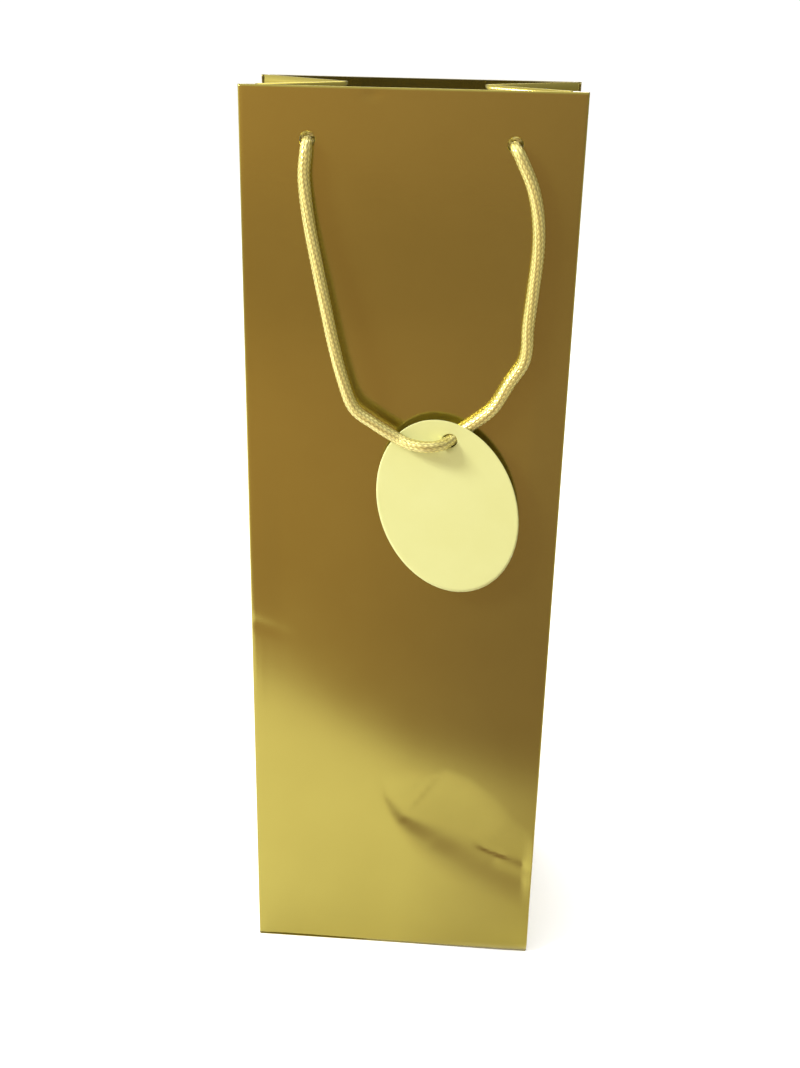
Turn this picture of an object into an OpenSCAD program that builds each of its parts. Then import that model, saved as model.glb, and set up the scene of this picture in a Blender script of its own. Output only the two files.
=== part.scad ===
// Bottle gift bag: a folded paper bag with turned-in hem, stiffening cards,
// a base board, two knotted cord handles and a hang tag on the front cord.
// Millimetres, +Z up, front towards -Y, origin at the centre of the underside.

/* [Bag body] */
// width of the front and back panels
body_w = 120; // [100:1:150]
// depth of the flat base
body_d = 85; // [74:1:105]
// height of the panels along the paper
body_h = 360; // [300:1:420]
// front-to-back opening at the rim, sides pinched in
mouth_d = 48; // [44:1:60]
// thickness of the coated paper
paper_t = 0.3; // [0.2:0.05:0.4]

/* [Hem and stiffeners] */
// height of the turned-in top hem
hem_h = 40; // [30:1:50]
// thickness of the cards inside the hem
card_t = 0.8; // [0.6:0.1:1.0]
// how far each card stops short of the side crease
card_inset = 6; // [5:1:12]
// thickness of the base board
board_t = 1; // [0.6:0.1:1.6]
// gap between the base board and the walls
board_gap = 1.5; // [1.2:0.1:4]

/* [Handles] */
// diameter of the handle cord
cord_d = 4.4; // [4.2:0.1:4.6]
// spacing of the two handle holes
hole_gap = 72; // [64:1:80]
// distance of the holes below the rim
hole_drop = 17.5; // [14:0.5:22]
// diameter of the punched holes
hole_d = 5.4; // [5.2:0.1:6]
// diameter of the knots inside the bag
knot_d = 9; // [8:0.2:9.4]

/* [Tag] */
// length of the oval tag
tag_l = 71; // [60:1:76]
// width of the oval tag
tag_w = 52; // [44:1:56]
// thickness of the tag card
tag_t = 0.5; // [0.3:0.1:0.6]
// diameter of the hole in the tag
tag_hole_d = 8.4; // [8:0.2:9.4]
// distance from the tag hole down to the middle of the tag
tag_hang = 27; // [24:0.5:27]
// tilt of the hanging tag
tag_tilt = 19.5; // [15:0.5:24]

/* [Hidden] */
$fn = 48;
half_d = body_d / 2;
// inward lean of the front and back walls that gives the pinched rim
lean = asin((half_d - mouth_d / 2) / body_h);
// play between bodies that move against each other
play = 0.35;
// gap between two glued layers that follow the same curved gusset
glue_gap = 0.08;
panel_foot = paper_t + play;
hem_t = paper_t * 2 + card_t;
gusset_set = paper_t * 2 + 0.4;
// the gussets stand straight past the base board and fold in above it
gusset_foot = paper_t * 4 + board_t + 1.3;
// slices of a gusset below the hem, closer together near the base, and in the hem
low_rings = 14;
hem_rings = 4;
ring_power = 1.6;
gusset_hem_start = 6;
fold_gap = 0.05;
flap_lap = 12;
side_flap_len = body_w * 0.36;
side_flap_cut = body_d * 0.2;
seam_w = 14;
seam_edge = 2.5;
hem_side = 3;
hole_s = body_h - hole_drop;
cord_r = cord_d / 2;
cord_sides = 10;
cord_steps = 2;
cord_out = cord_r + 0.4;
knot_len = 6.8;
tail_len = 11;
tail_tilt = 12;
// the tag lies between the two branches of the front cord, clear of both
tag_lay = cord_r + tag_t / 2 + play;
tag_out = cord_out + tag_lay;
over_tag = tag_out + tag_lay;
tag_x = 17.6;
tag_drop = 104.6;
ref_gap = 72;

function half_depth(s) = half_d - s * sin(lean);
function fold_in(s) = let(h = half_depth(max(s - gusset_foot, 0)))
  sqrt(max(half_d * half_d - h * h, 0));

// route of a cord: [across, out from the wall, down from the holes]
front_route = [
  [-36, cord_out, 0],
  [-36.8, cord_out + 0.4, 13],
  [-35, cord_out + 1.8, 27],
  [-32.1, cord_out + 3.4, 41],
  [-29, cord_out + 4.8, 55],
  [-25.9, over_tag - 0.1, 69],
  [-22.5, over_tag, 82],
  [-18.2, over_tag, 93],
  [-10.2, over_tag + 0.1, 99],
  [-2.5, over_tag + 0.1, 103.6],
  [2, over_tag + 1.5, 105.3],
  [7.2, over_tag + 2.9, 105.9],
  [11.2, over_tag + 2.4, 106],
  [14.5, tag_out + 3.1, 105.8],
  [17.3, tag_out - 0.2, 105],
  [19.5, tag_out - 2.1, 103.6],
  [22, cord_out, 101.8],
  [25.6, cord_out + 0.1, 99.1],
  [33, cord_out, 92.7],
  [38.5, cord_out, 83],
  [42.8, cord_out, 76],
  [44, cord_out, 70],
  [44, cord_out, 62],
  [45, cord_out, 49],
  [45.9, cord_out, 35],
  [45.2, cord_out, 24],
  [42.8, cord_out, 14],
  [39, cord_out, 5.5],
  [36, cord_out, 0]
];
rear_route = [
  [-36, cord_out, 0],
  [-37.5, cord_out + 0.2, 14],
  [-38, cord_out + 0.8, 30],
  [-36.5, cord_out + 1.4, 48],
  [-33, cord_out + 2, 66],
  [-27.5, cord_out + 2.4, 83],
  [-20, cord_out + 2.6, 97],
  [-10.5, cord_out + 2.6, 106.5],
  [0, cord_out + 2.6, 110],
  [10.5, cord_out + 2.6, 106.5],
  [20, cord_out + 2.6, 97],
  [27.5, cord_out + 2.4, 83],
  [33, cord_out + 2, 66],
  [36.5, cord_out + 1.4, 48],
  [38, cord_out + 0.8, 30],
  [37.5, cord_out + 0.2, 14],
  [36, cord_out, 0]
];

// place a route in the wall's own frame: x, y inwards, z up the paper
function placed(r) = [for (p = r) [p[0] * hole_gap / ref_gap, -p[1], hole_s - p[2]]];
function before(p, i) = i > 0 ? p[i - 1] : 2 * p[0] - p[1];
function after(p, i) = i < len(p) - 1 ? p[i + 1] : 2 * p[i] - p[i - 1];
function spline(a, b, c, d, t) =
  0.5 * (2 * b + (c - a) * t + (2 * a - 5 * b + 4 * c - d) * t * t
    + (3 * b - a - 3 * c + d) * t * t * t);
function smooth(p, n) = concat(
  [for (i = [0 : len(p) - 2], j = [0 : n - 1])
    spline(before(p, i), p[i], p[i + 1], after(p, i + 1), j / n)],
  [p[len(p) - 1]]);
function unit(v) = v / norm(v);
// rounded ends: rings [centre, radius, direction] over a quarter circle
cap_angles = [80, 55, 28];
function ring_list(p, r) = let(
    n = len(p),
    t0 = unit(p[1] - p[0]),
    t1 = unit(p[n - 1] - p[n - 2]))
  concat(
    [for (a = cap_angles) [p[0] - t0 * r * sin(a), r * cos(a), t0]],
    [for (i = [0 : n - 1]) [p[i], r, unit(after(p, i) - before(p, i))]],
    [for (i = [2 : -1 : 0])
      [p[n - 1] + t1 * r * sin(cap_angles[i]), r * cos(cap_angles[i]), t1]]);
function ring_points(q, k) = let(
    side = unit(cross(q[2], [0, 1, 0])),
    up = cross(side, q[2]))
  [for (i = [0 : k - 1])
    q[0] + q[1] * (side * cos(360 * i / k) + up * sin(360 * i / k))];

module tube(route, r, k) {
  rings = ring_list(smooth(placed(route), cord_steps), r);
  m = len(rings);
  pts = [for (q = rings) each ring_points(q, k)];
  walls = [for (j = [0 : m - 2], i = [0 : k - 1]) let(
      a = j * k + i,
      b = j * k + (i + 1) % k)
    each [[a, b, b + k], [a, b + k, a + k]]];
  first = [for (i = [k - 1 : -1 : 0]) i];
  last = [for (i = [0 : k - 1]) (m - 1) * k + i];
  polyhedron(points = pts, faces = concat([first], walls, [last]), convexity = 10);
}

// frame of the front wall: outer face at y = 0, paper running up +Z
module on_front() {
  translate([0, -half_d, 0]) rotate([-lean, 0, 0]) children();
}

module on_back() {
  mirror([0, 1, 0]) on_front() children();
}

module handle_holes(depth) {
  for (x = [-1, 1])
    translate([x * hole_gap / 2, -1, hole_s]) rotate([-90, 0, 0])
      cylinder(h = depth + 2, d = hole_d);
}

// ---- the long panels, in the frame of the front wall ----
module wall_panel() {
  difference() {
    translate([-body_w / 2, 0, panel_foot])
      cube([body_w, paper_t, body_h - panel_foot]);
    handle_holes(paper_t);
  }
}

module wall_card() {
  card_w = body_w - 2 * card_inset;
  difference() {
    translate([-card_w / 2, paper_t, body_h - hem_h + 1])
      cube([card_w, card_t, hem_h - 1 - paper_t]);
    handle_holes(paper_t + card_t);
  }
}

// hem: the paper turned over the card's top edge and glued down behind it
module wall_hem() {
  hem_w = body_w - 2 * hem_side;
  difference() {
    translate([hem_w / 2, 0, 0]) rotate([90, 0, -90]) linear_extrude(hem_w)
      polygon([
        [-paper_t, body_h - paper_t],
        [-paper_t - card_t, body_h - paper_t],
        [-paper_t - card_t, body_h - hem_h],
        [-hem_t, body_h - hem_h],
        [-hem_t, body_h],
        [-paper_t, body_h]
      ]);
    handle_holes(hem_t);
  }
}

// knot: cord end drawn through the hole and tied inside the bag
module cord_knot(x) {
  translate([x * hole_gap / 2, 0, hole_s]) rotate([-90, 0, 0]) {
    cylinder(h = hem_t + knot_len / 2, d = cord_d, $fn = 24);
    translate([0, 0, hem_t + knot_len / 2]) scale([1, 1, knot_len / knot_d])
      sphere(d = knot_d, $fn = 30);
    translate([0, 0, hem_t + knot_len / 2]) rotate([-90 + tail_tilt, 0, 0])
      cylinder(h = tail_len, d = cord_d, $fn = 24);
  }
}

// ---- the gussets, drawn for the right front quarter ----
// outer corner at the wall, outer corner at the middle fold
function quarter_a(s) = [body_w / 2, -(half_depth(s) - gusset_set)];
function quarter_b(s) = [body_w / 2 - fold_in(s), -fold_gap];
function inward(s) = let(d = unit(quarter_b(s) - quarter_a(s))) [-d[1], d[0]];
// corners of one slice between depths t0 and t1 into the bag
function slice(s, cut, t0, t1) = let(
    d = unit(quarter_b(s) - quarter_a(s)),
    m = inward(s),
    z = s * cos(lean),
    a = quarter_a(s) + d * cut,
    b0 = quarter_b(s) + [t0 / m[0], 0],
    b1 = quarter_b(s) + [t1 / m[0], 0],
    a0 = a + m * t0,
    a1 = a + m * t1)
  [[a0[0], a0[1], z], [b0[0], b0[1], z], [b1[0], b1[1], z], [a1[0], a1[1], z]];

function low_heights() = concat([0], [for (k = [0 : low_rings - 1])
  gusset_foot + (body_h - hem_h - gusset_foot) * pow(k / low_rings, ring_power)]);
function hem_heights() =
  [for (k = [0 : hem_rings]) body_h - hem_h + hem_h * k / hem_rings];

// both faces of the sheet split along the same diagonal, so it keeps its thickness
module gusset_skin(heights, cut, t0, t1) {
  n = len(heights) - 1;
  pts = [for (s = heights) each slice(s, cut, t0, t1)];
  walls = [for (k = [0 : n - 1], i = [0 : 3]) let(
      a = 4 * k + i,
      b = 4 * k + (i + 1) % 4)
    each (i == 2
      ? [[a, a + 4, b], [a + 4, b + 4, b]]
      : [[a, a + 4, b + 4], [a, b + 4, b]])];
  polyhedron(points = pts,
    faces = concat([[0, 1, 2, 3]], walls, [[4 * n + 3, 4 * n + 2, 4 * n + 1, 4 * n]]),
    convexity = 6);
}

module gusset_half() {
  gusset_skin(concat(low_heights(), hem_heights()), 0, 0, paper_t);
}

module gusset_hem() {
  gusset_skin(hem_heights(), gusset_hem_start,
    paper_t + glue_gap, 2 * paper_t + glue_gap);
}

module to_left() {
  mirror([1, 0, 0]) children();
}

module to_rear() {
  mirror([0, 1, 0]) children();
}

// ---- the base, from the outside in ----
module bottom_flap_rear() color("goldenrod") {
  translate([-body_w / 2 + paper_t, -flap_lap, 0])
    cube([body_w - 2 * paper_t, half_d + flap_lap, paper_t]);
}

module bottom_flap_front() color("goldenrod") {
  translate([body_w / 2 - paper_t, 0, 0]) rotate([90, 0, -90])
    linear_extrude(body_w - 2 * paper_t)
      polygon([
        [half_d, 0],
        [half_d, paper_t],
        [flap_lap + paper_t, paper_t],
        [flap_lap + paper_t, 2 * paper_t],
        [-flap_lap, 2 * paper_t],
        [-flap_lap, paper_t],
        [flap_lap, paper_t],
        [flap_lap, 0]
      ]);
}

module bottom_flap_side() {
  edge = body_w / 2 - paper_t;
  wide = half_d - board_gap;
  translate([0, 0, 2 * paper_t]) linear_extrude(paper_t)
    polygon([
      [edge, -wide],
      [edge, wide],
      [edge - side_flap_len, wide - side_flap_cut],
      [edge - side_flap_len, -wide + side_flap_cut]
    ]);
}

module bottom_flap_right() color("goldenrod") bottom_flap_side();
module bottom_flap_left() color("goldenrod") to_left() bottom_flap_side();

module base_board() color("ivory") {
  long_side = body_w - 2 * board_gap;
  short_side = body_d - 2 * board_gap;
  translate([-long_side / 2, -short_side / 2, 3 * paper_t])
    cube([long_side, short_side, board_t]);
}

module gusset_right_front() color("goldenrod") gusset_half();
module gusset_right_rear() color("goldenrod") to_rear() gusset_half();
module gusset_left_front() color("goldenrod") to_left() gusset_half();
module gusset_left_rear() color("goldenrod") to_left() to_rear() gusset_half();
module gusset_hem_right_front() color("darkgoldenrod") gusset_hem();
module gusset_hem_right_rear() color("darkgoldenrod") to_rear() gusset_hem();
module gusset_hem_left_front() color("darkgoldenrod") to_left() gusset_hem();
module gusset_hem_left_rear() color("darkgoldenrod") to_left() to_rear() gusset_hem();

// ---- front wall and back wall ----
module front_panel() color("goldenrod") on_front() wall_panel();
module front_card() color("ivory") on_front() wall_card();
module front_hem() color("darkgoldenrod") on_front() wall_hem();
module front_knot_left() color("khaki") on_front() cord_knot(-1);
module front_knot_right() color("khaki") on_front() cord_knot(1);
module back_panel() color("goldenrod") on_back() wall_panel();
module back_card() color("ivory") on_back() wall_card();
module back_hem() color("darkgoldenrod") on_back() wall_hem();
module back_knot_left() color("khaki") on_back() cord_knot(-1);
module back_knot_right() color("khaki") on_back() cord_knot(1);

// glue flap that closes the paper tube, inside the back wall
module seam_flap() color("white") {
  on_back()
    translate([-body_w / 2 + seam_edge, paper_t, panel_foot + 2])
      cube([seam_w, paper_t, body_h - hem_h - panel_foot - 4]);
}

// ---- handles and tag ----
module front_handle_cord() color("khaki") on_front() tube(front_route, cord_r, cord_sides);
module rear_handle_cord() color("khaki") on_back() tube(rear_route, cord_r, cord_sides);

module gift_tag() color("palegoldenrod") {
  on_front()
    translate([tag_x * hole_gap / ref_gap, -tag_out, hole_s - tag_drop])
      rotate([90, 0, 0]) linear_extrude(tag_t, center = true)
        difference() {
          translate([0, -tag_hang]) rotate(tag_tilt) scale([tag_w / tag_l, 1])
            circle(d = tag_l, $fn = 96);
          circle(d = tag_hole_d);
        }
}

bottom_flap_rear();
bottom_flap_front();
bottom_flap_left();
bottom_flap_right();
base_board();
gusset_left_front();
gusset_left_rear();
gusset_right_front();
gusset_right_rear();
gusset_hem_left_front();
gusset_hem_left_rear();
gusset_hem_right_front();
gusset_hem_right_rear();
front_panel();
front_card();
front_hem();
front_knot_left();
front_knot_right();
back_panel();
back_card();
back_hem();
back_knot_left();
back_knot_right();
seam_flap();
front_handle_cord();
rear_handle_cord();
gift_tag();
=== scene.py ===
import math
import bmesh
import bpy
import numpy as np
from mathutils import Matrix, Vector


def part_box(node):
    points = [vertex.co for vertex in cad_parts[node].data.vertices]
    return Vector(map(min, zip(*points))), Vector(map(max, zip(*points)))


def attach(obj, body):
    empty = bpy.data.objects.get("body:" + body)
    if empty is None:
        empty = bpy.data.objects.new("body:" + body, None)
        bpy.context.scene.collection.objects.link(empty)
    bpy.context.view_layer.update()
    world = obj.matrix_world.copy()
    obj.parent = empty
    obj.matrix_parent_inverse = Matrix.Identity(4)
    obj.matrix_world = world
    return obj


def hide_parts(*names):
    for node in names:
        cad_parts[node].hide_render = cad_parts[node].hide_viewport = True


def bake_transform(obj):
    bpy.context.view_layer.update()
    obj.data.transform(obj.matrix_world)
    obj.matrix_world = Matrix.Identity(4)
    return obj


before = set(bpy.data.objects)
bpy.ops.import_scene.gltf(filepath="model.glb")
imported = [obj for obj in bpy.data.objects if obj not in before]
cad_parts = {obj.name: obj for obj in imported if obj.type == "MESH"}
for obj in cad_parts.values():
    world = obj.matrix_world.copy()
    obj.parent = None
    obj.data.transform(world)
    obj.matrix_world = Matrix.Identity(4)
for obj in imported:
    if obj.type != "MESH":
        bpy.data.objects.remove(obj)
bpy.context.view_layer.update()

# ---------------------------------------------------------------------------
# Camera. Stands a little right of the middle and looks down at the bag from
# just above the rim, as a customer would at a counter.
# ---------------------------------------------------------------------------
CAMERA_AT = (0.0280, -0.4575, 0.3922)
CAMERA_PITCH, CAMERA_ROLL, CAMERA_YAW = -0.4296, -0.0194, 0.0672
SENSOR_MM, LENS_MM = 24.0, 27.0854


def camera_axes(pitch, roll, yaw):
    """Right, forward and up: Rz(yaw) times Rx(pitch) times Ry(roll)."""
    cp, sp = math.cos(pitch), math.sin(pitch)
    cr, sr = math.cos(roll), math.sin(roll)
    cy, sy = math.cos(yaw), math.sin(yaw)
    turn = np.array([[cy, -sy, 0], [sy, cy, 0], [0, 0, 1]])
    tip = np.array([[1, 0, 0], [0, cp, -sp], [0, sp, cp]])
    roll_m = np.array([[cr, 0, sr], [0, 1, 0], [-sr, 0, cr]])
    return turn @ tip @ roll_m


cam_data = bpy.data.cameras.new("camera")
cam = bpy.data.objects.new("camera", cam_data)
bpy.context.scene.collection.objects.link(cam)
cam_data.sensor_fit = "VERTICAL"
cam_data.sensor_height = SENSOR_MM
cam_data.lens = LENS_MM
cam_data.clip_start = 0.01
axes = camera_axes(CAMERA_PITCH, CAMERA_ROLL, CAMERA_YAW)
view_matrix = Matrix.Identity(4)
for row in range(3):
    view_matrix[row][0] = axes[row, 0]
    view_matrix[row][1] = axes[row, 2]
    view_matrix[row][2] = -axes[row, 1]
    view_matrix[row][3] = CAMERA_AT[row]
cam.matrix_world = view_matrix
bpy.context.scene.camera = cam

# ---------------------------------------------------------------------------
# Handle cords. Soft knitted rayon cord, pale gold, about 4.4 mm thick. Each is
# one length drawn from outside through two punched holes in the hem and tied
# off inside. The front one carries the tag; the rear one hangs behind.
# ---------------------------------------------------------------------------
panel_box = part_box("front_panel")
body_w = panel_box[1][0] - panel_box[0][0]
half_d = -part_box("bottom_flap_front")[0][1]
paper_t = 0.0003
body_h = 0.360
lean = math.atan2(panel_box[1][1] + half_d - paper_t, panel_box[1][2])
hole_x, hole_s, hole_r = 0.036, body_h - 0.0175, 0.0027
cord_r = 0.0022
CORD_WRAP, NECK_LENGTH = 26.0, 0.0036
# The cord's colour as lit, and its shaded colour laid as painted shade into the gaps between
# stitches.
LIT_CORD = (0.92, 0.83, 0.27)
CORD_GAP_SHADE = (0.27, 0.20, 0.028)


def on_wall(across, out, up, side=-1):
    """Wall coordinates to the room: side -1 is the front wall, +1 the back.

    The outer face leans in, so a point goes up the paper by `up` and away from
    the paper by `out` along its normal.
    """
    across, out, up = (np.asarray(v, float) for v in (across, out, up))
    y = half_d + out * math.cos(lean) - up * math.sin(lean)
    z = up * math.cos(lean) + out * math.sin(lean)
    return np.stack(np.broadcast_arrays(across, side * y, z), axis=-1)


def smooth_path(points, step):
    """A Catmull-Rom curve through the points, sampled again at even steps."""
    p = np.asarray(points, float)
    q = np.vstack([2 * p[0] - p[1], p, 2 * p[-1] - p[-2]])
    t = np.linspace(0, 1, 24, endpoint=False)[:, None]
    a, b, c, d = (q[i:len(q) - 3 + i, None, :] for i in range(4))
    fine = 0.5 * (2 * b + (c - a) * t + (2 * a - 5 * b + 4 * c - d) * t**2
                  + (3 * b - a - 3 * c + d) * t**3)
    fine = np.vstack([fine.reshape(-1, 3), p[-1:]])
    run = np.r_[0, np.cumsum(np.linalg.norm(np.diff(fine, axis=0), axis=1))]
    at = np.linspace(0, run[-1], int(run[-1] / step) + 1)
    return np.stack([np.interp(at, run, fine[:, k]) for k in range(3)], axis=1), at


def ring_frames(path):
    """Side and up vectors that turn as little as possible along the path."""
    tangent = np.gradient(path, axis=0)
    tangent /= np.linalg.norm(tangent, axis=1, keepdims=True)
    start = np.array([1.0, 0.1, 0.2])
    side = np.empty_like(path)
    v = start - tangent[0] * (start @ tangent[0])
    for i, t in enumerate(tangent):
        v = v - t * (v @ t)
        v = v / np.linalg.norm(v)
        side[i] = v
    return side, np.cross(tangent, side)


def add_mesh(name, verts, faces):
    """A mesh object at the origin from flat arrays of points and faces."""
    mesh = bpy.data.meshes.new(name)
    mesh.from_pydata(np.asarray(verts).reshape(-1, 3).tolist(), [],
                     np.asarray(faces).tolist())
    mesh.polygons.foreach_set("use_smooth", [True] * len(mesh.polygons))
    mesh.update()
    obj = bpy.data.objects.new(name, mesh)
    bpy.context.scene.collection.objects.link(obj)
    return obj


def grid_faces(rows, cols, wrap=False):
    """Quads between neighbours of a rows x cols grid, wrapped round if asked."""
    i, j = np.meshgrid(np.arange(rows - 1), np.arange(cols if wrap else cols - 1),
                       indexing="ij")
    k = (j + 1) % cols
    return np.stack([i * cols + j, i * cols + k, (i + 1) * cols + k,
                     (i + 1) * cols + j], axis=-1).reshape(-1, 4)


def float_attribute(obj, name, values):
    """Stores one number per point, for the material to read."""
    layer = obj.data.attributes.new(name, "FLOAT", "POINT")
    layer.data.foreach_set("value", np.asarray(values, np.float32).ravel())


WALES = 10
FACETS_PER_WALE = 6
STITCH = 0.0018


def knitted_cord(name, path, run, radius, ends=True, squeeze=0.0):
    """Tube with columns of V stitches.

    Radius = r (0.87 + 0.15 (0.55 column roundness + 0.45 stitch ridge)), the
    ridge phase running along the cord and back by the distance from a column's
    middle, which makes the chevrons. The columns twist slowly along the cord,
    and its last 4 mm are squeezed where it passes through a punched hole.
    """
    around = FACETS_PER_WALE * WALES
    side, up = ring_frames(path)
    theta = np.arange(around) * 2 * math.pi / around
    column = WALES * (theta[None, :] + run[:, None] * CORD_WRAP) / (2 * math.pi)
    off = 2 * np.abs(column - np.round(column))
    ridge = 0.5 + 0.5 * np.cos(2 * math.pi * (run[:, None] / STITCH + 0.55 * off
                                              + 0.5 * (np.round(column) % 2)))
    bump = 0.55 * np.sqrt(np.clip(1 - off**2, 0, 1)) + 0.45 * ridge
    r = radius * (0.87 + 0.15 * bump)
    span = np.minimum(run, run[-1] - run)[:, None]
    r = r * (1 - squeeze * np.exp(-(span / NECK_LENGTH)**2))
    if ends:
        r = r * np.sqrt(np.clip(1 - (1 - np.clip(span / radius, 0, 1))**2, 0.0004, 1))
    ring = (side[:, None, :] * np.cos(theta)[None, :, None]
            + up[:, None, :] * np.sin(theta)[None, :, None])
    verts = path[:, None, :] + ring * r[..., None]
    faces = grid_faces(len(path), around, wrap=True)
    last = (len(path) - 1) * around
    obj = add_mesh(name, verts, faces)
    mesh = obj.data
    bm = bmesh.new()
    bm.from_mesh(mesh)
    bm.verts.ensure_lookup_table()
    bm.faces.new([bm.verts[i] for i in range(around)])
    bm.faces.new([bm.verts[last + i] for i in range(around)])
    bmesh.ops.recalc_face_normals(bm, faces=bm.faces)
    bm.to_mesh(mesh)
    bm.free()
    # The stitch height is also the mask for the painted shade in the gaps.
    float_attribute(obj, "stitch", bump)
    return obj


def socket(group, name, kind, out=False, value=None):
    """One named socket on a shader node group."""
    s = group.interface.new_socket(name=name, in_out="OUTPUT" if out else "INPUT",
                                   socket_type=kind)
    if value is not None:
        s.default_value = value
    return s


def node(tree, kind, **inputs):
    """A node with some of its inputs set or linked; `set_` names are properties."""
    n = tree.nodes.new(kind)
    for key, value in inputs.items():
        if key.startswith("set_"):
            setattr(n, key[4:], value)
    for key, value in inputs.items():
        if key.startswith("set_"):
            continue
        key = int(key[1:]) if key[0] == "i" and key[1:].isdigit() else key.replace("_", " ")
        target = n.inputs[key]
        if isinstance(value, bpy.types.NodeSocket):
            tree.links.new(value, target)
        else:
            target.default_value = value
    return n


def fibre_group():
    """Fine fibre noise: a height and a mask at a given scale, from a vector."""
    g = bpy.data.node_groups.new("fibre", "ShaderNodeTree")
    socket(g, "Vector", "NodeSocketVector")
    socket(g, "Scale", "NodeSocketFloat", value=900.0)
    socket(g, "Coarse", "NodeSocketFloat", value=60.0)
    socket(g, "Height", "NodeSocketFloat", out=True)
    socket(g, "Mask", "NodeSocketFloat", out=True)
    gi = g.nodes.new("NodeGroupInput")
    go = g.nodes.new("NodeGroupOutput")
    fine = node(g, "ShaderNodeTexNoise", Vector=gi.outputs["Vector"],
                Scale=gi.outputs["Scale"], Detail=3.0, Roughness=0.6)
    broad = node(g, "ShaderNodeTexNoise", Vector=gi.outputs["Vector"],
                 Scale=gi.outputs["Coarse"], Detail=4.0, Roughness=0.55)
    g.links.new(fine.outputs["Fac"], go.inputs["Height"])
    g.links.new(broad.outputs["Fac"], go.inputs["Mask"])
    return g


FIBRE = fibre_group()


def new_material(name):
    """An empty material with its shader and output, ready for nodes."""
    m = bpy.data.materials.new(name)
    m.use_nodes = True
    tree = m.node_tree
    return m, tree, tree.nodes["Principled BSDF"]


def ramp(tree, value, low, high, at_low=0.0, at_high=1.0, smooth=False):
    """A number taken from low..high to at_low..at_high, and held past both ends."""
    n = node(tree, "ShaderNodeMapRange", Value=value)
    if smooth:
        n.interpolation_type = "SMOOTHSTEP"
    for name, number in (("From Min", low), ("From Max", high),
                         ("To Min", at_low), ("To Max", at_high)):
        n.inputs[name].default_value = number
    return n.outputs["Result"]


def mixed(tree, share, first, second, how="MIX"):
    """The first colour where share is 0 and the second where it is 1."""
    n = node(tree, "ShaderNodeMix", set_data_type="RGBA", set_blend_type=how, Factor=share)
    for place, colour in ((6, first), (7, second)):
        if isinstance(colour, bpy.types.NodeSocket):
            tree.links.new(colour, n.inputs[place])
        else:
            n.inputs[place].default_value = (*colour, 1)
    return n.outputs[2]


def relief(tree, bsdf, height, strength, depth):
    """A bump of a given depth in metres, from a height."""
    bump = node(tree, "ShaderNodeBump", Height=height, Strength=strength, Distance=depth)
    tree.links.new(bump.outputs["Normal"], bsdf.inputs["Normal"])


def polish(bsdf, **constants):
    """Plain values on the shader's own sockets; an underscore is a space."""
    for name, value in constants.items():
        bsdf.inputs[name.replace("_", " ")].default_value = value


def fibre(tree, scale, coarse):
    """The fibre group placed on the piece's own coordinates."""
    where = tree.nodes.new("ShaderNodeTexCoord")
    n = tree.nodes.new("ShaderNodeGroup")
    n.node_tree = FIBRE
    tree.links.new(where.outputs["Object"], n.inputs["Vector"])
    n.inputs["Scale"].default_value = scale
    n.inputs["Coarse"].default_value = coarse
    return n


def cord_material():
    """Knitted rayon: painted shade in the gaps between stitches, pale on the stitches, silky
    gloss.
    """
    m, tree, bsdf = new_material("knitted_cord")
    f = fibre(tree, 2600.0, 180.0)
    stitch = node(tree, "ShaderNodeAttribute", set_attribute_name="stitch")
    # Painted shade: the shaded cord colour where the stitch height is low.
    knit_gap_shade = mixed(tree, ramp(tree, stitch.outputs["Fac"], 0.15, 0.92), CORD_GAP_SHADE, LIT_CORD)
    speck = ramp(tree, f.outputs["Height"], 0, 1, 0.7, 1.15)
    tree.links.new(mixed(tree, 0.35, knit_gap_shade, speck, "MULTIPLY"), bsdf.inputs["Base Color"])
    relief(tree, bsdf, f.outputs["Height"], 0.35, 0.00012)
    polish(bsdf, Metallic=0.55, Roughness=0.34, Coat_Weight=0.8, Coat_Roughness=0.22,
           Coat_IOR=1.7, Sheen_Weight=0.12, Sheen_Roughness=0.4, Specular_IOR_Level=0.55)
    return m


CORD = cord_material()

# ---------------------------------------------------------------------------
# Knots. Each cord end is tied in a single overhand knot behind the hem, with a
# short tail, so that it can't pull back through the hole.
# ---------------------------------------------------------------------------
KNOT_R, KNOT_STRAND, KNOT_STEP = 0.0029, 0.00175, 0.0004
KNOT_IN, KNOT_HALF = -0.0050, 0.00165
STUB_R, TAIL_R = 0.84 * cord_r, 0.9 * cord_r
# across, out from the paper and up from the hole, in millimetres
STUB = np.array([[0, -2.2, -0.5], [0, -2.8, -0.4], [0, -3.6, -0.2], [0, -4.6, 0]]) / 1000
TAIL = np.array([[0, -5.2, -0.5], [0.4, -6.8, -3.5], [0.9, -7.2, -7.5],
                 [0.8, -7.0, -11.5]]) / 1000


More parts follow.
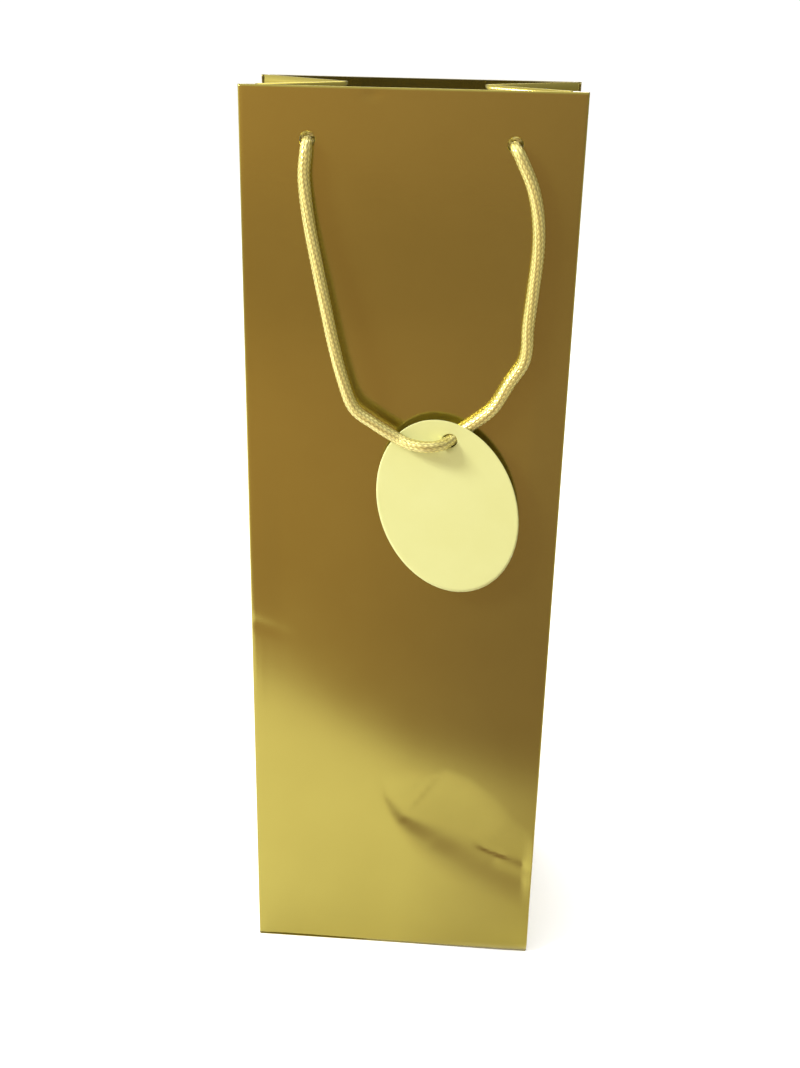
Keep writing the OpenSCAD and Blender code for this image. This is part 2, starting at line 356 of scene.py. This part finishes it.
def knot(name, x, side, wall, node_name):
    """Overhand knot: a three-lobed closed loop, with the stub through the hole
    and the tail hanging from it.

    Loop point at angle t: radius (2 + cos 3t) / 3 of the knot's radius, angle
    2t, and depth sin 3t times half the knot's thickness.
    """
    t = np.linspace(0, 2 * math.pi, 40)
    radius = KNOT_R * (2 + np.cos(3 * t)) / 3
    loop = on_wall(x + radius * np.cos(2 * t), KNOT_IN + KNOT_HALF * np.sin(3 * t),
                   hole_s + radius * np.sin(2 * t), side)
    stub = on_wall(x + STUB[:, 0], STUB[:, 1], hole_s + STUB[:, 2], side)
    tail = on_wall(x + TAIL[:, 0], TAIL[:, 1], hole_s + TAIL[:, 2], side)
    parts = []
    for label, pts, r in (("loop", loop, KNOT_STRAND), ("stub", stub, STUB_R),
                          ("tail", tail, TAIL_R)):
        path, run = smooth_path(pts, KNOT_STEP)
        parts.append(knitted_cord(name + "_" + label, path, run, r, ends=label != "loop"))
    bpy.ops.object.select_all(action="DESELECT")
    for o in parts:
        o.select_set(True)
    bpy.context.view_layer.objects.active = parts[0]
    bpy.ops.object.join()
    obj = bpy.context.view_layer.objects.active
    obj.name = name
    obj.data.materials.append(CORD)
    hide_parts(node_name)
    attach(obj, wall)
    return obj


front_knots = [knot("knot_front_left", -hole_x, -1, "front_wall", "front_knot_left"),
               knot("knot_front_right", hole_x, -1, "front_wall", "front_knot_right")]
back_knots = [knot("knot_back_left", -hole_x, 1, "back_wall", "back_knot_left"),
              knot("knot_back_right", hole_x, 1, "back_wall", "back_knot_right")]

# ---------------------------------------------------------------------------
# Hang tag. Oval of smooth pale gold card, half a millimetre thick, die-cut with
# one round hole near its upper end; the front cord is threaded through it.
# ---------------------------------------------------------------------------
TAG_X, TAG_UP, TAG_OUT = 0.0176, hole_s - 0.1046, 0.0054
TAG_L, TAG_W, TAG_T = 0.071, 0.052, 0.0005
TAG_HOLE_R, TAG_HANG, TAG_TILT = 0.0029, 0.027, math.radians(19.5)
TAG_HOLE_MID, TAG_HOLE_SQUASH = (-0.0002, -0.0003), 0.92
TAG_RINGS, TAG_SPOKES = 40, 144
TAG_BOW, TAG_SINK, TAG_WORN_EDGE = 0.0003, 0.0001, 0.00008
TAG_FACE = (0.728, 0.752, 0.322)


def tag_sheet():
    """Rings from the hole's circle out to the oval, cupped a little.

    Point = (1 - v) hole circle + v oval, at the same bearing; the card bows out
    by a sine over its length and its last ring is pressed back by the die.
    """
    v = (np.linspace(0, 1, TAG_RINGS)[:, None]) ** 0.85
    a = np.arange(TAG_SPOKES)[None, :] * 2 * math.pi / TAG_SPOKES
    hole = np.stack([TAG_HOLE_R * np.cos(a) + TAG_HOLE_MID[0],
                     TAG_HOLE_R * TAG_HOLE_SQUASH * np.sin(a) + TAG_HOLE_MID[1]], axis=-1)
    c, s = math.cos(TAG_TILT), math.sin(TAG_TILT)
    # the oval's edge at the bearing of each spoke, seen from the hole
    mid = np.array([0.0, -TAG_HANG])
    to_oval = np.array([[c, s], [-s, c]])
    scale = np.array([2 / TAG_W, 2 / TAG_L])
    base = (to_oval @ -mid) * scale
    ray = np.stack([np.cos(a[0]), np.sin(a[0])], axis=-1) @ to_oval.T * scale
    qa, qb, qc = (ray**2).sum(1), (ray * base).sum(1), (base**2).sum() - 1
    reach = (-qb + np.sqrt(qb**2 - qa * qc)) / qa
    edge = np.stack([reach * np.cos(a[0]), reach * np.sin(a[0])], axis=-1)[None]
    flat = (1 - v[..., None]) * hole + v[..., None] * edge
    down = -flat[..., 1] / TAG_L
    bow = TAG_BOW * np.sin(math.pi * np.clip(down, 0, 1)) - TAG_SINK * down
    worn = -TAG_WORN_EDGE * np.clip((v - 0.985) / 0.015, 0, 1)
    verts = on_wall(TAG_X + flat[..., 0], TAG_OUT + TAG_T / 2 + bow + worn,
                    TAG_UP + flat[..., 1])
    return add_mesh("hang_tag", verts, grid_faces(TAG_RINGS, TAG_SPOKES, wrap=True)[:, ::-1])


def outward(obj, hint):
    """Turns the faces of an open sheet so that they look along the hint."""
    mesh = obj.data
    normal = np.zeros(3 * len(mesh.polygons))
    mesh.polygons.foreach_get("normal", normal)
    if normal.reshape(-1, 3).mean(0) @ np.asarray(hint, float) < 0:
        mesh.flip_normals()
    return obj


def give_thickness(obj, thick, inner=0):
    """Solidify behind the sheet: its real thickness and its inner material."""
    mod = obj.modifiers.new("thickness", "SOLIDIFY")
    mod.thickness = thick
    mod.offset = -1.0
    mod.use_even_offset = False
    mod.material_offset = inner


def grained(tree, bsdf, f, first, second, strength, depth):
    """Patches of two near tones, and the fibres standing up a little."""
    tree.links.new(mixed(tree, f.outputs["Mask"], first, second), bsdf.inputs["Base Color"])
    relief(tree, bsdf, f.outputs["Height"], strength, depth)


def tag_material():
    """Smooth card with a faint fibre grain and a matt pale gold print."""
    m, tree, bsdf = new_material("tag_card")
    face = np.array(TAG_FACE)
    grained(tree, bsdf, fibre(tree, 1500.0, 45.0), face * (0.96, 0.95, 0.88),
            face * (1.03, 1.03, 1.10), 0.25, 0.00004)
    polish(bsdf, Roughness=0.55, Specular_IOR_Level=0.4)
    return m


tag = outward(tag_sheet(), (0, -1, 0))
tag.data.materials.append(tag_material())
give_thickness(tag, TAG_T)
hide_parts("gift_tag")
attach(tag, "tag")

# ---------------------------------------------------------------------------
# Threading. The front cord comes down from its left hole, in front of the tag,
# through the tag's hole and up behind it to the right hole; the rear one hangs
# free.
# ---------------------------------------------------------------------------
CORD_STEP, NECK_SQUEEZE = 0.00036, 0.15
TURN_START, TURN_END = 0.001, 0.0075
TURN_OUT = np.array([-0.0012, 0.0003, 0.0016, 0.0024])
TURN_DOWN = np.array([0.0006, 0.0008, 0.0019, 0.0042])
# across, out from the paper and down from the holes, in millimetres
FRONT_ROUTE = np.array([
    [-36, 2.6, 0], [-36.8, 3.0, 13], [-35, 4.4, 27], [-32.1, 6.0, 41],
    [-29, 7.4, 55], [-25.9, 8.1, 69], [-22.5, 8.2, 82], [-18.2, 8.2, 93],
    [-10.2, 8.3, 99], [-2.5, 8.3, 103.6], [2, 9.7, 105.3], [7.2, 11.1, 105.9],
    [11.2, 10.6, 106], [14.5, 8.5, 105.8], [17.3, 5.2, 105], [19.5, 3.3, 103.6],
    [22, 2.6, 101.8], [25.6, 2.7, 99.1], [33, 2.6, 92.7], [38.5, 2.6, 83],
    [42.8, 2.6, 76], [44, 2.6, 70], [44, 2.6, 62], [45, 2.6, 49],
    [45.9, 2.6, 35], [45.2, 2.6, 24], [42.8, 2.6, 14], [39, 2.6, 5.5],
    [36, 2.6, 0]]) / 1000
REAR_ROUTE = np.array([
    [-36, 2.6, 0], [-37.5, 2.8, 14], [-38, 3.4, 30], [-36.5, 4.0, 48],
    [-33, 4.6, 66], [-27.5, 5.0, 83], [-20, 5.2, 97], [-10.5, 5.2, 106.5],
    [0, 5.2, 110], [10.5, 5.2, 106.5], [20, 5.2, 97], [27.5, 5.0, 83],
    [33, 4.6, 66], [36.5, 4.0, 48], [38, 3.4, 30], [37.5, 2.8, 14],
    [36, 2.6, 0]]) / 1000


def handle(name, route, side, node_name):
    """A cord from hole to hole, its first millimetres turning into the wall."""
    turn = []
    for end, second in ((route[0], route[1]), (route[-1], route[-2])):
        share = np.clip(TURN_DOWN - TURN_DOWN[1], 0, 1) / (second[2] - TURN_DOWN[1])
        turn.append(np.stack([end[0] + (second[0] - end[0]) * share, TURN_OUT, TURN_DOWN],
                             axis=-1))
    keep = route[1:-1][route[1:-1, 2] > TURN_END]
    pts = np.vstack([turn[0], keep, turn[1][::-1]])
    world = on_wall(pts[:, 0], pts[:, 1], hole_s - pts[:, 2], side)
    path, run = smooth_path(world, CORD_STEP)
    obj = knitted_cord(name, path, run, cord_r, ends=False, squeeze=NECK_SQUEEZE)
    obj.data.materials.append(CORD)
    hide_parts(node_name)
    top = on_wall(0, 0.0, hole_s + TURN_START, side)
    low = on_wall(0, 0.0, hole_s - TURN_END, side)
    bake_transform(obj)


handle("cord_front", FRONT_ROUTE, -1, "front_handle_cord")
handle("cord_rear", REAR_ROUTE, 1, "rear_handle_cord")

# ---------------------------------------------------------------------------
# Front and back panels. One sheet of paper, 0.3 mm thick, laminated with satin
# gold film outside and white inside, folded round at the side creases. The
# front one has a dent and a short sharp crease low down from being handled.
# ---------------------------------------------------------------------------
FILM = (0.405, 0.338, 0.075)
CREASE_R = 0.0006


def gold_film():
    """Satin metallised film: fine orange-peel grain, soft patches of polish."""
    m, tree, bsdf = new_material("gold_film")
    f = fibre(tree, 1400.0, 26.0)
    film = np.array(FILM)
    grained(tree, bsdf, f, film * (0.93, 0.92, 0.90), film * (1.06, 1.07, 1.10), 0.18, 0.00005)
    tree.links.new(ramp(tree, f.outputs["Mask"], 0, 1, 0.15, 0.20), bsdf.inputs["Roughness"])
    polish(bsdf, Metallic=0.92)
    return m


def white_paper():
    """Uncoated white side of the paper with a visible fibre grain."""
    m, tree, bsdf = new_material("white_paper")
    grained(tree, bsdf, fibre(tree, 1100.0, 70.0), (0.82, 0.80, 0.74), (0.90, 0.89, 0.85),
            0.35, 0.00006)
    polish(bsdf, Roughness=0.8)
    return m


GOLD = gold_film()
WHITE = white_paper()


def near_line(x, s, points):
    """Distance to a polyline, the share of its length there, and the side.

    The side is positive to the left of the way the line runs.
    """
    shape = np.broadcast(x, s).shape
    best, share, left = np.full(shape, np.inf), np.zeros(shape), np.ones(shape)
    legs = list(zip(points[:-1], points[1:]))
    whole = sum(math.dist(p, q) for p, q in legs)
    gone = 0.0
    for (ax, ay), (bx, by) in legs:
        dx, dy = bx - ax, by - ay
        leg = math.hypot(dx, dy)
        t = np.clip(((x - ax) * dx + (s - ay) * dy) / leg**2, 0, 1)
        far = np.hypot(x - ax - t * dx, s - ay - t * dy)
        closer = far < best
        best = np.where(closer, far, best)
        share = np.where(closer, (gone + t * leg) / whole, share)
        left = np.where(closer, np.sign(dx * (s - ay) - dy * (x - ax)), left)
        gone += leg
    return best, share, left


def fold_line(x, s, points, width, taper=0.35):
    """1 on a polyline, falling away over width and dying out at its ends."""
    far, share, _ = near_line(x, s, points)
    ends = np.clip(np.minimum(share, 1 - share) / taper, 0, 1)
    return np.exp(-(far / width)**2) * (ends * ends * (3 - 2 * ends))


DENT_RIM = [(-0.0070, 0.0860), (-0.0060, 0.0783), (-0.0030, 0.0680), (0.0017, 0.0590),
            (0.0095, 0.0475), (0.0194, 0.0390), (0.0311, 0.0315), (0.0460, 0.0255),
            (0.0700, 0.0190)]
DENT_VALLEY = [(-0.0066, 0.0880), (-0.0030, 0.0765), (0.0050, 0.0680), (0.0187, 0.0630),
               (0.0323, 0.0573), (0.0393, 0.0524), (0.0508, 0.0479), (0.0640, 0.0450)]
DENT_BROW = [(-0.0075, 0.0880), (0.0022, 0.0965), (0.0177, 0.0935), (0.0319, 0.0877),
             (0.0424, 0.0791), (0.0505, 0.0693), (0.0640, 0.0590)]
DENT_DEPTH, DENT_SIDE = 0.0025, 0.0038
DENT_GROWS, DENT_CRISP = 0.60, 0.15


def dent(x, s):
    """A buckled hollow between a rim below it and a brow above it.

    From the rim (0) the sheet drops to the valley line (1), then rises to the
    brow (0); between two lines the depth goes by the ratio of the distances to
    them. The valley itself deepens smoothly from its left end.
    """
    to_rim, _, over_rim = near_line(x, s, DENT_RIM)
    to_valley, share, over_valley = near_line(x, s, DENT_VALLEY)
    to_brow, _, over_brow = near_line(x, s, DENT_BROW)
    low = to_rim / (to_rim + to_valley + 1e-6)
    high = to_brow / (to_brow + to_valley + 1e-6)
    ratio = np.where(over_valley > 0, np.where(over_brow > 0, 0, high),
                     np.where(over_rim > 0, low, 0))
    soft = ratio * ratio * (3 - 2 * ratio)
    deep = np.clip(share / DENT_GROWS, 0, 1)
    return ((DENT_CRISP * ratio + (1 - DENT_CRISP) * soft)
            * deep * deep * (3 - 2 * deep))


def swell(x, s, cx, cs, rx, rs, turn=0.0):
    """A smooth hump, 1 at its middle, with its own two radii and turn."""
    c, d = math.cos(turn), math.sin(turn)
    u = ((x - cx) * c + (s - cs) * d) / rx
    v = (-(x - cx) * d + (s - cs) * c) / rs
    return np.exp(-(u * u + v * v))


def from_side(x, width=0.012):
    """0 on the side creases, 1 from a little way inside them."""
    return np.clip((body_w / 2 - np.abs(x)) / width, 0, 1)


def below_hem(s):
    """1 on the free paper, 0 where the hem and its card stiffen it."""
    return np.clip((0.300 - s) / 0.05, 0, 1)


PINCH = [(0.0330, 0.0550), (0.0393, 0.0524), (0.0452, 0.0502), (0.0508, 0.0479)]
PINCH_LIP = [(0.0430, 0.0480), (0.0486, 0.0461), (0.0556, 0.0428), (0.0606, 0.0416)]
SIDE_BEND = [(-0.0850, 0.1650), (-0.0560, 0.1550), (-0.0380, 0.149)]
FOOT_BEND = [(-0.028, 0.0474), (-0.0414, 0.0197), (-0.0552, 0.006)]
BACK_BEND = [(-0.03, 0.12), (-0.01, 0.105), (0.008, 0.10)]


def front_relief(x, s):
    """Height of the front panel above the flat sheet.

    Slow waves; the dent, a sharp pinch in it and the lip thrown up below; a
    bulge over the right foot; two faint bends and a ridge at the left; a nick
    in the rim.
    """
    wave = (0.00022 * np.sin(21 * x + 14 * s + 0.6) * np.sin(17 * s + 1.1)
            + 0.00012 * np.sin(47 * x - 31 * s))
    z = wave * below_hem(s) * from_side(x)
    z -= DENT_DEPTH * dent(x, s) * from_side(x, DENT_SIDE)
    z -= 0.0004 * fold_line(x, s, PINCH, 0.0012)
    z += 0.0004 * fold_line(x, s, PINCH_LIP, 0.0026, 0.25)
    z += 0.0019 * swell(x, s, 0.054, 0.006, 0.036, 0.0170, -0.1) * np.clip(s / 0.004, 0, 1)
    z -= 0.00014 * fold_line(x, s, SIDE_BEND, 0.0028, 0.5)
    z -= 0.00020 * fold_line(x, s, FOOT_BEND, 0.0060) * from_side(x)
    z += 0.00005 * np.exp(-((x + 0.0562) / 0.0007)**2) * np.clip((0.17 - s) / 0.05, 0, 1)
    z -= 0.00012 * swell(x, s, -0.0137, 0.3574, 0.0030, 0.0014)
    return z


def back_relief(x, s):
    """Softer waves and one faint bend on the back panel."""
    wave = (0.00025 * np.sin(19 * x - 12 * s + 2.0) * np.sin(15 * s + 0.4)
            + 0.00010 * np.sin(41 * x + 29 * s))
    return wave * below_hem(s) * from_side(x) - 0.0005 * fold_line(x, s, BACK_BEND, 0.005)


GRID, FINE_GRID, FINE_HALF, LEAST_GAP = 0.0013, 0.00033, 0.0042, 0.00015
LIP, FOOT_GAP, HOLE_SNAP = 0.0007, 0.0004, 0.00028


def ticks(low, high, fine_at):
    """Grid lines at an even step, with finer ones around the given places."""
    marks = [np.arange(low, high, GRID), [high]]
    for m in fine_at:
        marks.append(np.arange(m - FINE_HALF, m + FINE_HALF, FINE_GRID))
    t = np.unique(np.round(np.concatenate(marks), 6))
    return t[np.r_[True, np.diff(t) > LEAST_GAP]]


def wall_sheet(name, side, relief):
    """The panel: a flat sheet plus relief, its side edges rolled round the crease.

    Along the rolled edge the sheet turns through the crease radius and runs on
    for a short lip inwards. Cells inside the punched holes are left out, and the
    points round them are moved onto the hole's circle.
    """
    flat_half = body_w / 2 - CREASE_R
    arc = CREASE_R * math.pi * 0.5
    u = ticks(-flat_half, flat_half, (-hole_x, hole_x))
    extra = np.r_[np.linspace(0, arc, 5)[1:], arc + LIP]
    u = np.r_[-(flat_half + extra[::-1]), u, flat_half + extra]
    s = ticks(FOOT_GAP, body_h, (hole_s,))
    uu, ss = np.meshgrid(u, s)
    over = np.clip(np.abs(uu) - flat_half, 0, None)
    ang = np.clip(over / CREASE_R, 0, math.pi / 2)
    past = np.clip(over - arc, 0, None)
    x = np.sign(uu) * (np.minimum(np.abs(uu), flat_half) + CREASE_R * np.sin(ang))
    out = -CREASE_R * (1 - np.cos(ang)) - past
    hx = np.where(x < 0, -hole_x, hole_x)
    dx, ds = x - hx, ss - hole_s
    dist = np.hypot(dx, ds)
    snap = (np.abs(dist - hole_r) < HOLE_SNAP) & (dist > 1e-6)
    push = np.where(snap, hole_r / np.maximum(dist, 1e-9), 1.0)
    x2, s2 = hx + dx * push, hole_s + ds * push
    out = out + relief(x2, s2)
    verts = on_wall(np.where(snap, x2, x), out, np.where(snap, s2, ss), side)
    faces = grid_faces(*uu.shape)
    mid = dist.ravel()[faces].mean(1)
    faces = faces[mid > hole_r * 0.985]
    used = np.zeros(uu.size, bool)
    used[faces.ravel()] = True
    index = np.cumsum(used) - 1
    obj = add_mesh(name, verts.reshape(-1, 3)[used], index[faces])
    outward(obj, (0, side, 0))
    obj.data.materials.append(GOLD)
    obj.data.materials.append(WHITE)
    give_thickness(obj, paper_t, inner=1)
    return obj


front_sheet = wall_sheet("panel_front", -1, front_relief)
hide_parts("front_panel")
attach(front_sheet, "front_wall")
back_sheet = wall_sheet("panel_back", 1, back_relief)
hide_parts("back_panel")
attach(back_sheet, "back_wall")

# ---------------------------------------------------------------------------
# Side gussets. The same gold-faced paper, creased down the middle and folded
# inwards as the mouth is pinched; each half runs from a panel's side crease to
# the middle fold. Their top hems are turned in and glued.
# ---------------------------------------------------------------------------
GUSSET_SET, GUSSET_IN, GUSSET_FOOT = 0.0007, 0.0001, 0.0035
HEM_H, HEM_START, HEM_INSET = 0.040, 0.15, 0.00038
PRESS_DEPTH, PRESS_WIDTH, RIPPLE = 0.00022, 0.0016, 0.00018


def gusset_half(name, x_side, y_side, hem):
    """Ruled sheet from the wall's crease (u = 0) to the middle fold (u = 1).

    At height s the wall stands at half depth h = d/2 - s sin(lean), and the fold
    lies sqrt((d/2)^2 - h^2) inside the side edge, so the paper never stretches;
    the lowest 3.5 mm, beside the base board, stay straight. A hem is the top
    part of the same sheet, set inwards. Shallow pre-creases run up at 45 degrees
    from the base corners.
    """
    rows, cols = (24, 30) if hem else (150, 34)
    v = np.linspace(0, 1, rows)[:, None]
    s = body_h - HEM_H * (1 - v) if hem else body_h * v**1.4
    u = np.linspace(HEM_START if hem else 0.0, 1, cols)[None, :]
    h = half_d - s * math.sin(lean)
    above = half_d - np.clip(s - GUSSET_FOOT, 0, None) * math.sin(lean)
    fold = np.sqrt(half_d**2 - above**2)
    ax, ay = body_w / 2 - GUSSET_IN, h - GUSSET_SET
    bx = body_w / 2 - fold
    length = np.hypot(ax - bx, ay)
    press = (PRESS_DEPTH * np.exp(-((s - u * half_d) / PRESS_WIDTH)**2)
             + RIPPLE * np.sin(60 * s + 3 * u) * np.sin(math.pi * u))
    inset = HEM_INSET if hem else -press
    x = ax + (bx - ax) * u - ay / length * inset
    y = ay * (1 - u) + (ax - bx) / length * inset
    y = np.where(u >= 1, 0.0, y)
    z = s * math.cos(lean) + 0 * u
    return add_mesh(name, np.stack([x_side * x, y_side * y, z], axis=-1),
                    grid_faces(rows, cols))


def set_gusset(name, x_side, y_side, cad, hem=False):
    """One gusset half or its hem, given its finish and thickness."""
    obj = gusset_half(name, x_side, y_side, hem)
    outward(obj, (x_side, 0, 0))
    obj.data.materials.append(GOLD)
    obj.data.materials.append(GOLD if hem else WHITE)
    give_thickness(obj, paper_t, inner=1)
    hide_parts(cad)
    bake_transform(obj)


for x_name, x_side in (("left", -1), ("right", 1)):
    for y_name, y_side, wall in (("front", -1, "front_wall"), ("rear", 1, "back_wall")):
        set_gusset("gusset_" + x_name + "_" + y_name + "_sheet", x_side, y_side,
                   "gusset_" + x_name + "_" + y_name)
        set_gusset("gusset_hem_" + x_name + "_" + y_name + "_sheet", x_side, y_side,
                   "gusset_hem_" + x_name + "_" + y_name, hem=True)


# ---------------------------------------------------------------------------
# Turned-in hems, stiffening cards and the glue flap. The top 40 mm of the sheet
# is turned in over a strip of grey-white board and glued, gold side showing; a
# narrow white flap closes the tube inside the back panel.
# ---------------------------------------------------------------------------
def board_material():
    """Pressed board: pale, with flecks and a slightly rough face."""
    m, tree, bsdf = new_material("pressed_board")
    grained(tree, bsdf, fibre(tree, 800.0, 240.0), (0.66, 0.63, 0.56), (0.84, 0.82, 0.76),
            0.5, 0.00012)
    polish(bsdf, Roughness=0.88)
    return m


BOARD = board_material()


def dress(cad, *materials):
    """Gives a carried-over CAD node its finish."""
    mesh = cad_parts[cad].data
    mesh.materials.clear()
    for m in materials:
        mesh.materials.append(m)


for hem in ("front_hem", "back_hem"):
    dress(hem, GOLD)
for card in ("front_card", "back_card"):
    dress(card, BOARD)
dress("seam_flap", WHITE)

# ---------------------------------------------------------------------------
# Block bottom. Side flaps fold in first, then the front and rear flaps are
# glued over each other, gold side down, and a loose-cut board lies on them.
# ---------------------------------------------------------------------------
for flap in ("bottom_flap_rear", "bottom_flap_front"):
    dress(flap, GOLD)
for flap in ("bottom_flap_left", "bottom_flap_right"):
    dress(flap, WHITE)
dress("base_board", BOARD)

# ---------------------------------------------------------------------------
# Stage. A plain pale floor and soft light. For light that reaches the film, the floor's
# colour holds a painted pool of light close to the bag up to a slanting edge, with
# painted warm shade further away and a painted shadow in front of the bag's right side.
FLOOR_PALE = (0.95, 0.95, 0.945)
# Dim warm colours: light from the room, and painted shade on the floor past the pool, lighter
# to the left and paler beside.
FAR_SIDE = (0.42, 0.275, 0.20)
BESIDE = (0.72, 0.66, 0.46)
FAR_LEFT, FAR_RIGHT = (1.18, 1.16, 1.05), (0.86, 0.90, 1.18)
EDGE_STEEP, EDGE_FLAT = -1.05, -0.28
EDGE_LOW, EDGE_HIGH = -0.238, -0.184
# The first level is for the painted shade on the floor, the second for the room's dim light.
FLOOR_PAINTED_SHADE, ROOM_DIM = 0.80, 1.62
FLOOR_GLOW, ROOM_SEEN = 0.22, 1.1
FLOOR_HALF = 6


def calc(tree, operation, *values):
    """The result of one arithmetic node on the given numbers."""
    places = {"i" + str(place): value for place, value in enumerate(values)}
    return node(tree, "ShaderNodeMath", set_operation=operation, **places).outputs[0]


def place_in(tree, output):
    """X, Y and Z of the place on the floor, or of the way out into the room."""
    where = tree.nodes.new("ShaderNodeTexCoord").outputs[output]
    return node(tree, "ShaderNodeSeparateXYZ", Vector=where).outputs


def seen(tree):
    """1 where the camera looks straight at a thing, 0 for its light on others."""
    return tree.nodes.new("ShaderNodeLightPath").outputs["Is Camera Ray"]


def across(tree, x, y, level):
    """The dim warm colour times a level, a little lighter to the left and paler beside; on the
    floor this is painted shade, in the room it is light.
    """
    ratio = calc(tree, "DIVIDE", x, y)
    dim = np.array(FAR_SIDE) * level
    ahead = mixed(tree, ramp(tree, ratio, -0.14, 0.26), dim * FAR_RIGHT, dim * FAR_LEFT)
    aside = ramp(tree, calc(tree, "ABSOLUTE", ratio), 0.34, 0.95)
    return mixed(tree, aside, ahead, np.array(BESIDE) * level)


def bright_pool(tree, x, y):
    """Painted light: up to 1 on the floor near the bag, 0 past the slanting edge.

    The edge is y = -max(steep x, flat x); to the right the pool falls away in
    front of the bag, a painted shadow of the bag, but not beside it.
    """
    slant = calc(tree, "MAXIMUM", calc(tree, "MULTIPLY", x, EDGE_STEEP),
                 calc(tree, "MULTIPLY", x, EDGE_FLAT))
    near = ramp(tree, calc(tree, "ADD", y, slant), EDGE_LOW, EDGE_HIGH, smooth=True)
    # Painted shadow of the bag: the pool falls away to the right in front of it.
    right = ramp(tree, x, 0.0, 0.075, 1.0, 0.25)
    beside = ramp(tree, y, -0.058, -0.042)
    fade = ramp(tree, y, -0.30, -0.10, 0.80, 1.0)
    return calc(tree, "MULTIPLY", near,
                calc(tree, "MULTIPLY", calc(tree, "MAXIMUM", right, beside), fade))


def floor():
    """A large flat square, plain and pale to look at; for all other light its colour holds a
    painted pool of light and painted shade.
    """
    a = FLOOR_HALF
    obj = add_mesh("floor", [[-a, -a, 0], [a, -a, 0], [a, a, 0], [-a, a, 0]], [[0, 1, 2, 3]])
    m, tree, bsdf = new_material("floor")
    at = place_in(tree, "Object")
    x, y = at["X"], at["Y"]
    # Painted light and shade: the pool near the bag, dim warm shade past its edge; the camera
    # sees only the pale colour.
    pale = calc(tree, "MAXIMUM", bright_pool(tree, x, y), seen(tree))
    dim = mixed(tree, 1.0, across(tree, x, y, FLOOR_PAINTED_SHADE),
                ramp(tree, y, -1.40, -0.45, 1.42, 0.82), "MULTIPLY")
    tree.links.new(mixed(tree, pale, dim, FLOOR_PALE), bsdf.inputs["Base Color"])
    glow = calc(tree, "MULTIPLY", seen(tree), FLOOR_GLOW)
    tree.links.new(glow, bsdf.inputs["Emission Strength"])
    polish(bsdf, Emission_Color=(1, 1, 1, 1), Roughness=0.9, Specular_IOR_Level=0.1)
    obj.data.materials.append(m)


def area(name, at, aim, size, power):
    """A square soft light at a place, aimed at a point."""
    data = bpy.data.lights.new(name, "AREA")
    data.size = size
    data.energy = power
    obj = bpy.data.objects.new(name, data)
    bpy.context.scene.collection.objects.link(obj)
    way = np.asarray(aim, float) - np.asarray(at, float)
    way /= np.linalg.norm(way)
    right = np.cross(way, [0, 0, 1.0])
    right /= np.linalg.norm(right)
    up = np.cross(right, way)
    m = Matrix.Identity(4)
    for i in range(3):
        m[i][0], m[i][1], m[i][2], m[i][3] = right[i], up[i], -way[i], at[i]
    obj.matrix_world = m


def room():
    """White all round; the low band that the bag faces lights it warm and dim."""
    world = bpy.data.worlds.new("studio")
    bpy.context.scene.world = world
    world.use_nodes = True
    tree = world.node_tree
    back = tree.nodes["Background"]
    way = place_in(tree, "Generated")
    behind = ramp(tree, way["Y"], -0.55, 0.0, smooth=True)
    above = ramp(tree, way["Z"], -0.04, 0.85, smooth=True)
    white = calc(tree, "MAXIMUM", calc(tree, "MAXIMUM", behind, above), seen(tree))
    dim = across(tree, way["X"], way["Y"], ROOM_DIM)
    tree.links.new(mixed(tree, white, dim, (1.0, 1.0, 1.0)), back.inputs["Color"])
    side = ramp(tree, way["X"], -0.9, 0.9, 1.35, 0.38)
    power = node(tree, "ShaderNodeMix", Factor=seen(tree), A=side, B=ROOM_SEEN)
    tree.links.new(power.outputs[0], back.inputs["Strength"])


floor()
area("key", (-0.95, -0.50, 0.95), (0, 0, 0.18), 0.28, 16.0)
area("over", (0.1, 0.45, 1.4), (0, 0.1, 0), 1.2, 12.0)
room()
bpy.context.scene.view_settings.view_transform = "Standard"
